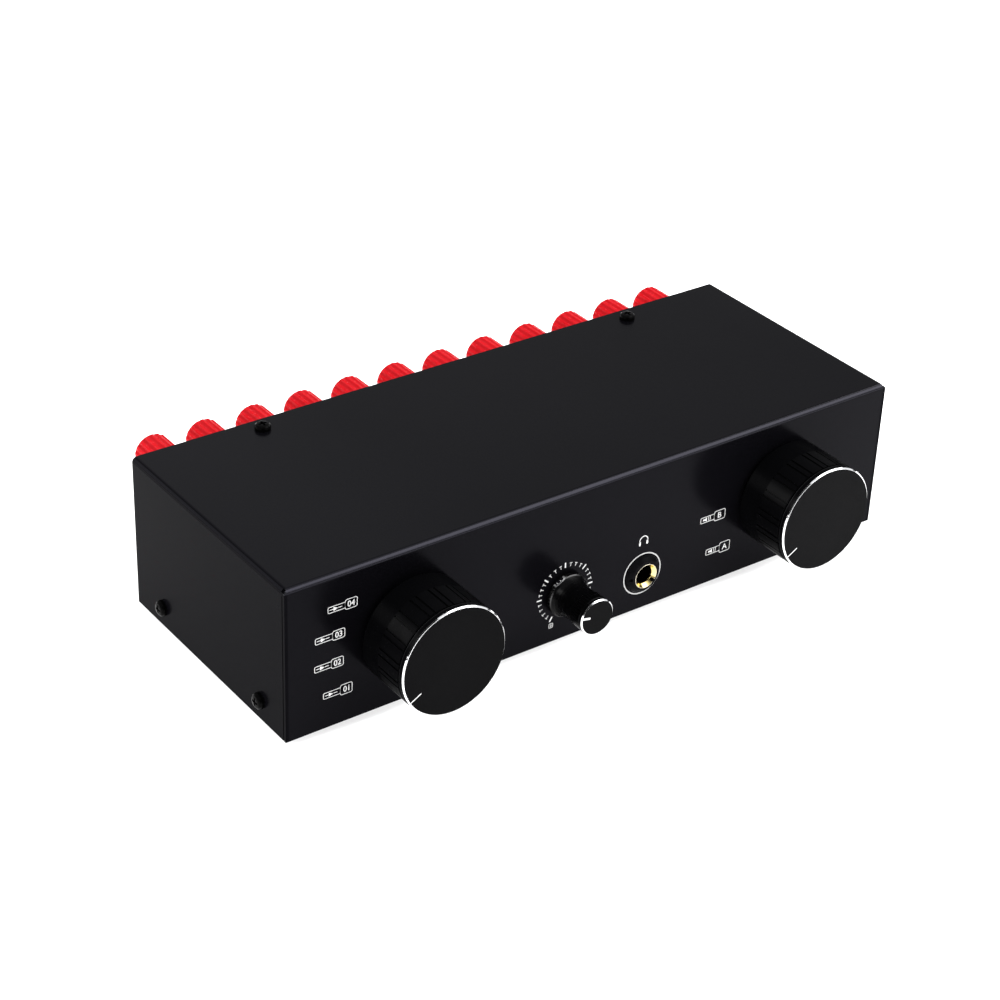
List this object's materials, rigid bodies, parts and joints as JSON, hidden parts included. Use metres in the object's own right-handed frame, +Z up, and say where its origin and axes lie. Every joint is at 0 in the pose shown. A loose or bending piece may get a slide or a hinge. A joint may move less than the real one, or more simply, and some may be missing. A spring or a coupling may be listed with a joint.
{
  "type": "speaker selector switch",
  "caption": "Black steel selector box with large rotary knobs, a small volume knob, a headphone socket and rows of red and black screw terminals at the rear.",
  "frame": {"origin": "centre of the bounding box's bottom, on the surface the rubber feet stand on", "axes": "+Z up, -Y out of the front panel, +X to the right as seen from the front"},
  "size_m": [0.246, 0.135, 0.06],
  "materials": {
    "cover_paint": "satin black powder coat with a fine grain",
    "base_paint": "satin black powder coat",
    "screw_black": "black oxide, semi-gloss",
    "rubber": "matte moulded rubber",
    "plated_steel": "bright zinc plate",
    "zinc_casting": "plain die casting, dull grey",
    "phenolic": "brown laminated board",
    "contact_silver": "silver-plated spring brass",
    "shaft_brass": "turned brass",
    "knob_black": "black anodised, with a bright turned edge",
    "small_knob_black": "satin moulded plastic",
    "black_plastic": "moulded, slightly glossy",
    "nut_black": "glossy black",
    "gold_plate": "polished gold plate",
    "red_plastic": "clear-tinted red, glossy",
    "post_black": "glossy black",
    "board_green": "green solder resist with brown resistors",
    "wire_sleeve": "bundled insulated wire"
  },
  "bodies": {
    "case": {"top_cover": "cover_paint", "chassis_base": "base_paint", "top_cover_screws": "screw_black", "side_cover_screws": "screw_black", "rubber_feet": "rubber", "panel_nuts": "plated_steel", "panel_washers": "plated_steel", "switch_tie_rods": "plated_steel", "amp_switch_frame": "zinc_casting", "amp_switch_wafers": "phenolic", "amp_switch_contacts": "contact_silver", "speaker_switch_frame": "zinc_casting", "speaker_switch_wafers": "phenolic", "speaker_switch_contacts": "contact_silver", "volume_pot_housing": "zinc_casting", "volume_pot_terminals": "contact_silver", "headphone_jack_housing": "black_plastic", "headphone_jack_sleeve": "gold_plate", "headphone_jack_nut": "nut_black", "headphone_jack_contacts": "contact_silver", "red_post_collars": "red_plastic", "black_post_collars": "post_black", "post_studs": "gold_plate", "post_inner_insulators": "black_plastic", "post_hex_nuts": "plated_steel", "post_ring_lugs": "contact_silver", "headphone_pad_board": "board_green", "wiring_loom": "wire_sleeve"},
    "amp_selector": {"amp_select_knob": "knob_black", "amp_knob_set_screw": "screw_black", "amp_switch_rotor": "shaft_brass"},
    "speaker_selector": {"speaker_select_knob": "knob_black", "speaker_knob_set_screw": "screw_black", "speaker_switch_rotor": "shaft_brass"},
    "volume_control": {"volume_knob": "small_knob_black", "volume_shaft": "shaft_brass"},
    "red_cap_01": {"red_post_cap_01": "red_plastic"},
    "red_cap_02": {"red_post_cap_02": "red_plastic"},
    "red_cap_03": {"red_post_cap_03": "red_plastic"},
    "red_cap_04": {"red_post_cap_04": "red_plastic"},
    "red_cap_05": {"red_post_cap_05": "red_plastic"},
    "red_cap_06": {"red_post_cap_06": "red_plastic"},
    "red_cap_07": {"red_post_cap_07": "red_plastic"},
    "red_cap_08": {"red_post_cap_08": "red_plastic"},
    "red_cap_09": {"red_post_cap_09": "red_plastic"},
    "red_cap_10": {"red_post_cap_10": "red_plastic"},
    "red_cap_11": {"red_post_cap_11": "red_plastic"},
    "red_cap_12": {"red_post_cap_12": "red_plastic"},
    "black_cap_01": {"black_post_cap_01": "post_black"},
    "black_cap_02": {"black_post_cap_02": "post_black"},
    "black_cap_03": {"black_post_cap_03": "post_black"},
    "black_cap_04": {"black_post_cap_04": "post_black"},
    "black_cap_05": {"black_post_cap_05": "post_black"},
    "black_cap_06": {"black_post_cap_06": "post_black"},
    "black_cap_07": {"black_post_cap_07": "post_black"},
    "black_cap_08": {"black_post_cap_08": "post_black"},
    "black_cap_09": {"black_post_cap_09": "post_black"},
    "black_cap_10": {"black_post_cap_10": "post_black"},
    "black_cap_11": {"black_post_cap_11": "post_black"},
    "black_cap_12": {"black_post_cap_12": "post_black"}
  },
  "joints": [
    {"name": "amp_select_turn", "type": "hinge", "parent": "case", "child": "amp_selector", "pos_m": [-0.0758, -0.05, 0.03025], "axis": [0, 1, 0], "range_deg": [0, 72]},
    {"name": "speaker_select_turn", "type": "hinge", "parent": "case", "child": "speaker_selector", "pos_m": [0.0758, -0.05, 0.03025], "axis": [0, 1, 0], "range_deg": [0, 30]},
    {"name": "volume_turn", "type": "hinge", "parent": "case", "child": "volume_control", "pos_m": [-0.0155, -0.05, 0.02055], "axis": [0, 1, 0], "range_deg": [-72, 228]},
    {"name": "red_cap_01_back_off", "type": "slide", "parent": "case", "child": "red_cap_01", "axis": [0, 1, 0], "range_m": [0, 0.005]},
    {"name": "red_cap_02_back_off", "type": "slide", "parent": "case", "child": "red_cap_02", "axis": [0, 1, 0], "range_m": [0, 0.005]},
    {"name": "red_cap_03_back_off", "type": "slide", "parent": "case", "child": "red_cap_03", "axis": [0, 1, 0], "range_m": [0, 0.005]},
    {"name": "red_cap_04_back_off", "type": "slide", "parent": "case", "child": "red_cap_04", "axis": [0, 1, 0], "range_m": [0, 0.005]},
    {"name": "red_cap_05_back_off", "type": "slide", "parent": "case", "child": "red_cap_05", "axis": [0, 1, 0], "range_m": [0, 0.005]},
    {"name": "red_cap_06_back_off", "type": "slide", "parent": "case", "child": "red_cap_06", "axis": [0, 1, 0], "range_m": [0, 0.005]},
    {"name": "red_cap_07_back_off", "type": "slide", "parent": "case", "child": "red_cap_07", "axis": [0, 1, 0], "range_m": [0, 0.005]},
    {"name": "red_cap_08_back_off", "type": "slide", "parent": "case", "child": "red_cap_08", "axis": [0, 1, 0], "range_m": [0, 0.005]},
    {"name": "red_cap_09_back_off", "type": "slide", "parent": "case", "child": "red_cap_09", "axis": [0, 1, 0], "range_m": [0, 0.005]},
    {"name": "red_cap_10_back_off", "type": "slide", "parent": "case", "child": "red_cap_10", "axis": [0, 1, 0], "range_m": [0, 0.005]},
    {"name": "red_cap_11_back_off", "type": "slide", "parent": "case", "child": "red_cap_11", "axis": [0, 1, 0], "range_m": [0, 0.005]},
    {"name": "red_cap_12_back_off", "type": "slide", "parent": "case", "child": "red_cap_12", "axis": [0, 1, 0], "range_m": [0, 0.005]},
    {"name": "black_cap_01_back_off", "type": "slide", "parent": "case", "child": "black_cap_01", "axis": [0, 1, 0], "range_m": [0, 0.005]},
    {"name": "black_cap_02_back_off", "type": "slide", "parent": "case", "child": "black_cap_02", "axis": [0, 1, 0], "range_m": [0, 0.005]},
    {"name": "black_cap_03_back_off", "type": "slide", "parent": "case", "child": "black_cap_03", "axis": [0, 1, 0], "range_m": [0, 0.005]},
    {"name": "black_cap_04_back_off", "type": "slide", "parent": "case", "child": "black_cap_04", "axis": [0, 1, 0], "range_m": [0, 0.005]},
    {"name": "black_cap_05_back_off", "type": "slide", "parent": "case", "child": "black_cap_05", "axis": [0, 1, 0], "range_m": [0, 0.005]},
    {"name": "black_cap_06_back_off", "type": "slide", "parent": "case", "child": "black_cap_06", "axis": [0, 1, 0], "range_m": [0, 0.005]},
    {"name": "black_cap_07_back_off", "type": "slide", "parent": "case", "child": "black_cap_07", "axis": [0, 1, 0], "range_m": [0, 0.005]},
    {"name": "black_cap_08_back_off", "type": "slide", "parent": "case", "child": "black_cap_08", "axis": [0, 1, 0], "range_m": [0, 0.005]},
    {"name": "black_cap_09_back_off", "type": "slide", "parent": "case", "child": "black_cap_09", "axis": [0, 1, 0], "range_m": [0, 0.005]},
    {"name": "black_cap_10_back_off", "type": "slide", "parent": "case", "child": "black_cap_10", "axis": [0, 1, 0], "range_m": [0, 0.005]},
    {"name": "black_cap_11_back_off", "type": "slide", "parent": "case", "child": "black_cap_11", "axis": [0, 1, 0], "range_m": [0, 0.005]},
    {"name": "black_cap_12_back_off", "type": "slide", "parent": "case", "child": "black_cap_12", "axis": [0, 1, 0], "range_m": [0, 0.005]}
  ]
}
